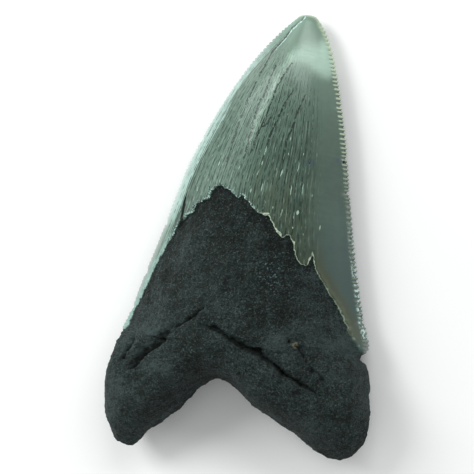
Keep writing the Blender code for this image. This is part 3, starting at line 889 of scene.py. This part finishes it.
# %% Enamel: stains low on the right
blue = over.between(0.80, 0.93) * up.between(0.75, 0.35)
enamel = (blue * 0.65).blend(enamel, BLUE_STAIN)
rightmost = (over + clouds * 0.3).between(0.80, 1.02)
low_right = enamel_mm.between(2.4, 0.8) * rightmost * up.between(0.50, 0.38)
enamel = (low_right * (0.50 + mottle * 0.6)).blend(enamel, BROWN_STAIN)
teal = over.between(0.80, 0.95) * up.between(0.48, 0.36) * enamel_mm.between(1.2, 2.4)
enamel = (teal * 0.6).blend(enamel, TEAL_STAIN)
shoulder = up.between(0.272, 0.235) * over.between(0.7, 0.85)
enamel = (shoulder * (0.75 + 0.3 * mottle)).blend(enamel, TEAL_STAIN)
lower = up.between(0.50, 0.38) * over.between(0.5, 0.7)
enamel = (lower * 0.30).blend(enamel, ENAMEL_DARK)
enamel = (blue_spot.between(0.15, 0.7) * (0.25 + 0.5 * mottle)).blend(enamel, SLATE_STAIN)
print("stains mixed")

# %% Enamel: left blade, partly a painted reflection
# The left blade is painted paler: partly thinner enamel, partly a painted reflection of the bright
# table seen at a grazing angle.
strip_end = 0.092 + 0.11 * up.between(0.80, 0.98) + 0.012 * streaks
left_blade = (over - strip_end).between(0.010, -0.012)
enamel = (left_blade * (0.62 + 0.5 * streaks - 0.25 * mottle)).blend(enamel, BLADE_PALE)
# Its outermost strip is painted paler still, the same mix of thin enamel and painted reflection.
outer_reach = up.between(0.70, 0.80, 3.1, 2.0)
outer_pale_and_sheen = (to_rim_mm + fine * 0.3 - outer_reach).between(0, -0.5) * over.between(0.45, 0.3)
outer_pale_and_sheen *= up.between(0.36, 0.52, 0.10, 1.0) * up.between(0.94, 0.84)
enamel = (outer_pale_and_sheen * (0.65 + 0.5 * fine)).blend(enamel, EDGE_PALE)
low_strip = over.between(0.20, 0.12) * up.between(0.50, 0.42)
enamel = (low_strip * (0.42 + 0.5 * streaks)).blend(enamel, ENAMEL_MID)
print("left blade mixed")

# %% Enamel: its lines' and flecks' colours
FLECK_WHITE = (0.42, 0.54, 0.45, 1)
ICE_WHITE = (0.60, 0.80, 0.80, 1)
CREAM = (0.50, 0.55, 0.44, 1)
SAW_HIGHLIGHT = (0.54, 0.61, 0.43, 1)
LINE_DARK = (0.004, 0.016, 0.013, 1)
SAW_DARK = (0.045, 0.072, 0.050, 1)
print("lines", LINE_DARK[:3], "flecks", FLECK_WHITE[:3])


# %% Enamel: growth lines
def growth_lines(count, half, dashes, low, high):
    """Broken lines that run with the growth: count of them across, each half a lane wide."""
    lane = (over + clouds * 0.02 + streaks * 0.010) * count
    beside = (lane.fraction() - 0.5).size()
    broken = grown.cloud(1.0, 1.5, 0.5, (count * 1.37, dashes, 1)).between(low, high)
    return beside.between(half * 1.8, half * 0.7) * broken * in_body


main_lines = growth_lines(33, 0.075, 70, 0.44, 0.56)
thin_lines = growth_lines(71, 0.15, 60, 0.44, 0.58)
pale_lines = growth_lines(53, 0.13, 34, 0.48, 0.62)
beads = place.cloud(2.0, 1.0, 0.5).between(0.42, 0.62)
drawn_line = (growth_mm.size() - beads * 0.12).between(0.095, 0.015)
drawn_line *= grown.cloud(1.0, 1.0, 0.5, (20, 110, 1)).between(0.34, 0.46)
drawn_line *= up.between(0.985, 0.93, 0.4, 1.0)
blade_seam = (over - strip_end - 0.004).size().between(0.0045, 0.0015)
blade_seam *= up.between(0.97, 0.90) * up.between(0.36, 0.42)
blade_seam *= streaks.between(0.3, 0.5)
lines = start.math("MAXIMUM", main_lines * 0.75, drawn_line * 0.95)
lines = start.math("MAXIMUM", lines, blade_seam * 0.75)
enamel = (pale_lines * 0.22).blend(enamel, FLECK_WHITE)
thin_share = up.between(0.85, 0.65, 0.24, 0.48) * (1 - 0.35 * upper_right)
enamel = (thin_lines * thin_share).blend(enamel, LINE_DARK)
# A painted highlight: a pale streak along the ridge, where a lamp's sheen runs down it.
wear_and_sheen = ridge * (0.10 + 0.5 * streaks + 0.5 * fine) * (1 - thin_lines * 0.6)
enamel = (wear_and_sheen * 0.62).blend(enamel, FLECK_WHITE)
enamel = lines.blend(enamel, LINE_DARK)
print("growth lines drawn")

# %% Enamel: the lit lip of the first line, and flecks
lit_lip = growth_mm.between(0.29, 0.22) * growth_mm.between(0.08, 0.13)
lit_lip *= up.between(0.885, 0.91) * fine.between(0.38, 0.56)
enamel = (lit_lip * 0.8).blend(enamel, ICE_WHITE)
fleck_marks = growth_lines(41, 0.10, 38, 0.66, 0.71) * up.between(0.80, 0.70)
enamel = (fleck_marks * 0.6).blend(enamel, FLECK_WHITE)
flecks = (fleck_half - fleck_mm.size() + (fine - 0.5) * 0.10).between(-0.03, 0.05)
enamel = (flecks * (0.35 + 0.8 * fine)).blend(enamel, FLECK_WHITE)
print("flecks drawn")

# %% Enamel: saw edges, with painted highlights on the crowns and along the rim
right_side = over.between(0.45, 0.55)
saw_reach = up.between(0.98, 0.86, 0.06, 0.54) + 0.9 * (fine - 0.2)
on_saw = (to_rim_mm - saw_reach).between(0.12, -0.20) * up.between(0.22, 0.26)
on_saw *= (0.35 + 0.65 * right_side) * up.between(0.97, 0.88)
tip_side = start.math("MAXIMUM", right_side, up.between(0.975, 0.99))
# Painted highlight: a cream line along the rim near the tip and down the right edge.
tip_rim_highlight = to_rim_mm.between(0.80, 0.25) * tip_side * up.between(0.80, 0.93)
enamel = (tip_rim_highlight * 0.65).blend(enamel, SAW_HIGHLIGHT)
from_crest = (saw.fraction() - 0.5).size()
enamel = (from_crest.between(0.30, 0.44) * on_saw * 0.65).blend(enamel, SAW_DARK)
# Painted highlights on the serrations' crowns, between the darker notches.
crown_highlights = from_crest.between(0.27, 0.10) * on_saw * right_side
crown_highlights *= up.between(0.55, 0.74, 0.30, 1.0)
enamel = (crown_highlights * (0.5 + 0.6 * fine)).blend(enamel, SAW_HIGHLIGHT)
# Painted glints: small ice-white highlights low on the right edge.
painted_glints = place.cloud(1.9, 1.0, 0.5).between(0.54, 0.61) * to_rim_mm.between(1.0, 0.4)
painted_glints *= over.between(0.8, 0.9)
painted_glints *= up.between(0.56, 0.40) * up.between(0.245, 0.262)
enamel = (painted_glints * 0.8).blend(enamel, ICE_WHITE)
print("saw edges drawn")

# %% Enamel: the torn border
torn_width = 0.07 + 0.34 * place.cloud(0.42, 2.0, 0.5).between(0.50, 0.72)
torn_width *= up.between(0.28, 0.42, 0.5, 1.0)
torn_edge = (enamel_mm - 0.10 + fine * 0.14).between(-0.10, -0.02)
torn_edge *= (enamel_mm - torn_width).between(0.06, -0.06)
torn_edge *= (over + clouds * 0.5).between(0.50, 0.80, 0.12, 1.0)
lower_right = up.between(0.43, 0.37) * over.between(0.62, 0.72)
torn_edge *= up.between(0.255, 0.31) * (1 - 0.55 * lower_right)
torn_edge *= (fine + over.between(0.62, 0.42) * -0.12).between(0.30, 0.48)
worn_lip = enamel_mm.between(0.95, 0.30) * lower_right * up.between(0.24, 0.30)
enamel = (worn_lip * 0.07).blend(enamel, CREAM)
enamel = torn_edge.blend(enamel, CREAM)
fringe = (enamel_mm + fine * 0.5 - 0.2).between(0.60, 0.15) * fine.between(0.50, 0.60)
fringe *= over.between(0.62, 0.5) * up.between(0.40, 0.48, 0.25, 1.0)
enamel = (fringe * 0.7).blend(enamel, ICE_WHITE)
# Painted highlight: a thin pale line along the enamel's lower left border.
left_lip_highlight = enamel_mm.between(0.45, 0.20) * over.between(0.3, 0.15)
enamel = (left_lip_highlight * up.between(0.50, 0.40) * 0.20).blend(enamel, ICE_WHITE)
enamel_gloss = 0.38 + 0.14 * streaks + 0.10 * fine
print("torn border drawn")

# %% [markdown]
# ## Collar and root
#
# The bare collar and root are nearly black, matt and sandy, greyer in places, with a little rust
# in the rough patch; the cracks are painted near black as painted shade. Three sizes of noise carry
# the grain; colour and bump share them, so pale specks sit on bumps.

# %% Root: its colours
ROOT_BLACK = (0.0035, 0.0052, 0.0052, 1)
ROOT_GREY = (0.040, 0.054, 0.056, 1)
ROOT_SPECK = (0.095, 0.122, 0.118, 1)
ROOT_TEAL = (0.018, 0.037, 0.035, 1)
ROOT_UMBER = (0.032, 0.029, 0.021, 1)
CRACK_SHADE_BLACK = (0.0022, 0.0030, 0.0030, 1)
TAN = (0.16, 0.135, 0.090, 1)
RUST = (0.070, 0.030, 0.022, 1)
BLUE_SPECK = (0.12, 0.18, 0.20, 1)
print("darkest", ROOT_BLACK[:3], "palest", BLUE_SPECK[:3])

# %% Root: grain and ground
grain = place.cloud(2.0, 3.0, 0.70)
sand = place.cloud(4.2, 2.0, 0.6)
coarse_grain = place.cloud(0.55, 3.0, 0.6)
drift = place.cloud(0.12, 2.0, 0.5)
collar_lines = grown.cloud(1.0, 2.0, 0.6, (80, 12, 1)) - 0.5
in_collar = enamel_mm.between(-2.9, -1.2) * up.between(0.24, 0.32)
left_side = over.between(0.40, 0.12) * up.between(0.27, 0.18)
root = grain * 0.50 + sand * 0.50 + coarse_grain * 0.30 + drift * 0.35
root += collar_lines * (0.10 + 0.35 * in_collar) - in_collar * 0.05
right_of_middle = over.between(0.62, 0.78) * up.between(0.34, 0.26)
right_collar = enamel_mm.between(-3.1, -0.5) * lower_right
# left_side makes the root lighter on the left: partly its own greener tint, partly painted light
# from the left.
root += left_side * 0.05 + right_of_middle * 0.035 + right_collar * 0.12
root += pale_patch * 0.17
root = root.between(0.71, 1.05).blend(ROOT_BLACK, ROOT_GREY)
hue = place.cloud(0.8, 2.0, 0.6)
root = (hue.between(0.50, 0.66) * 0.28).blend(root, ROOT_TEAL)
root = (hue.between(0.46, 0.34) * 0.10).blend(root, ROOT_UMBER)
print("root ground mixed")

# %% Root: specks, rust and the tan grain
specks = sand.between(0.56, 0.68) * grain.between(0.42, 0.58)
root = (specks * 0.60).blend(root, ROOT_SPECK)
blue_specks = place.cloud(2.9, 1.0, 0.5).between(0.615, 0.69)
blue_specks *= (over - 0.645).size().between(0.090, 0.02)
blue_specks *= (up - 0.385).size().between(0.065, 0.01)
root = (blue_specks * 0.75).blend(root, BLUE_SPECK)
rust = place.cloud(1.5, 2.0, 0.6).between(0.62, 0.70) * (rough * 0.3 + crack * 0.5 + 0.03)
root = rust.blend(root, RUST)
root = ((tan + (grain - 0.5) * 0.6).between(0.38, 0.72) * 0.85).blend(root, TAN)
root_rough = 0.62 + 0.2 * grain
print("root colours mixed")

# %% Enamel over root, and painted shade in the cracks
covered = (enamel_mm + fine * 0.16 - 0.08).between(-0.05, 0.05)
gritty = crack + ((grain - 0.5) * 1.1 + (sand - 0.5) * 0.9) * (1 - covered)
# Painted shade: near black in the cracks, pits and the split, with pale crumbs left in it.
crack_shade = gritty.between(0.26, 0.60)
crumbs = sand.between(0.47, 0.62) * 0.26 * (1 - covered)
colour = (crack_shade * (0.94 - crumbs)).blend(covered.blend(root, enamel), CRACK_SHADE_BLACK)
roughness = root_rough + covered * (enamel_gloss - root_rough)
roughness += crack_shade * (0.95 - roughness)
grain_height = (grain * 0.9 + coarse_grain * 0.7 + sand * 0.35) * (1 - covered)
line_height = 1 - lines * 0.3 - thin_lines * 0.12 + pale_lines * 0.08 + streaks * in_body * 0.10
line_height *= covered
print("both finishes mixed")

# %% Relief, glaze and links
BUMP_DISTANCE = 0.0006                                   # metres for a height of 1
relief = start.node("ShaderNodeBump", inputs={
    "Strength": 1.0, "Distance": BUMP_DISTANCE, "Height": grain_height + line_height})
polished = start.math("MAXIMUM", 1 - in_body, towards_tip) * (1 - 0.5 * very_tip)
glazed = covered * enamel_mm.between(0.05, 0.45)         # the broken edge has no glaze
coat = glazed * (1 - crack_shade) * (0.20 + 0.80 * polished + 0.30 * ridge)
tree.links.new(colour.socket, shader.inputs["Base Color"])
tree.links.new(roughness.socket, shader.inputs["Roughness"])
tree.links.new(relief.socket, shader.inputs["Normal"])
tree.links.new(coat.socket, shader.inputs["Coat Weight"])
shader.inputs["Coat Roughness"].default_value = 0.30
shader.inputs["Coat IOR"].default_value = 1.55
shader.inputs["Specular IOR Level"].default_value = 0.20
tooth.data.materials.clear()
tooth.data.materials.append(fossil)
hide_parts("tooth")
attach(tooth, "root")
print("nodes in the material:", len(tree.nodes))

# %% [markdown]
# ## Table, light and viewpoint
#
# The tooth lies on a plain near-white table under three soft lamps with a cool tint: a wide one at
# the upper left, a long strip beyond the tip, rolled until its reflection crosses the crown as the
# band does, and a low one at the left, which lights the left blade. The viewer looks down on the
# tooth, a little from the steep edge's side.

# %% Table
bpy.ops.mesh.primitive_plane_add(size=3.0, location=(0, 0, 0))
table = bpy.context.object
table.name = "table_top"
paper = bpy.data.materials.new("table_white")
paper.use_nodes = True
paper_shader = paper.node_tree.nodes["Principled BSDF"]
paper_shader.inputs["Base Color"].default_value = (1.0, 0.90, 0.95, 1)
paper_shader.inputs["Roughness"].default_value = 0.9
paper_shader.inputs["Specular IOR Level"].default_value = 0.1
table.data.materials.append(paper)
print("table on", table.name)

# %% Lamps
LAMP_COLOUR = (0.88, 1.0, 0.94)                          # cool, a little green
WORLD_STRENGTH = 0.55


def softbox(name, place_mm, size_mm, watts, roll=0):
    """A rectangular lamp that faces the tooth, rolled about its own beam by some degrees."""
    bpy.ops.object.light_add(type="AREA", location=Vector(place_mm) * MM)
    lamp = bpy.context.object
    lamp.name = name
    lamp.data.shape = "RECTANGLE"
    lamp.data.size, lamp.data.size_y = size_mm[0] * MM, size_mm[1] * MM
    lamp.data.energy = watts
    lamp.data.color = LAMP_COLOUR
    aim = (-Vector(place_mm)).to_track_quat("-Z", "Y")
    lamp.rotation_euler = (aim @ Quaternion((0, 0, 1), math.radians(roll))).to_euler()
    return lamp


softbox("lamp_upper_left", (-380, 290, 370), (300, 340), 2.4)
softbox("lamp_over_tip", (220, 346, 366), (470, 115), 1.25, roll=21)
softbox("lamp_left", (-490, 95, 85), (300, 120), 0.75)
world = bpy.context.scene.world or bpy.data.worlds.new("studio")
bpy.context.scene.world = world
world.use_nodes = True
background = next(n for n in world.node_tree.nodes if n.type == "BACKGROUND")
background.inputs["Color"].default_value = (*LAMP_COLOUR, 1)
background.inputs["Strength"].default_value = WORLD_STRENGTH
bpy.context.scene.view_settings.view_transform = "Standard"

# %% Viewpoint
LENS_MM, SENSOR_MM = 150, 36
bpy.ops.object.camera_add()
viewer = bpy.context.object
viewer.name = "viewer"
viewer.data.lens = LENS_MM
viewer.data.sensor_width = SENSOR_MM
centre = Vector((*(DISPLAY_CENTRE[:2] - MIDDLE), DISPLAY_CENTRE[2])) * MM
viewer.location = centre + Vector(TOWARDS_VIEWER) * DISPLAY_DISTANCE * MM
viewer.rotation_euler = (0, DISPLAY_TILT, 0)
viewer.data.clip_start, viewer.data.clip_end = 0.01, 10
bpy.context.scene.camera = viewer
print("viewer at", [round(v, 4) for v in viewer.location])
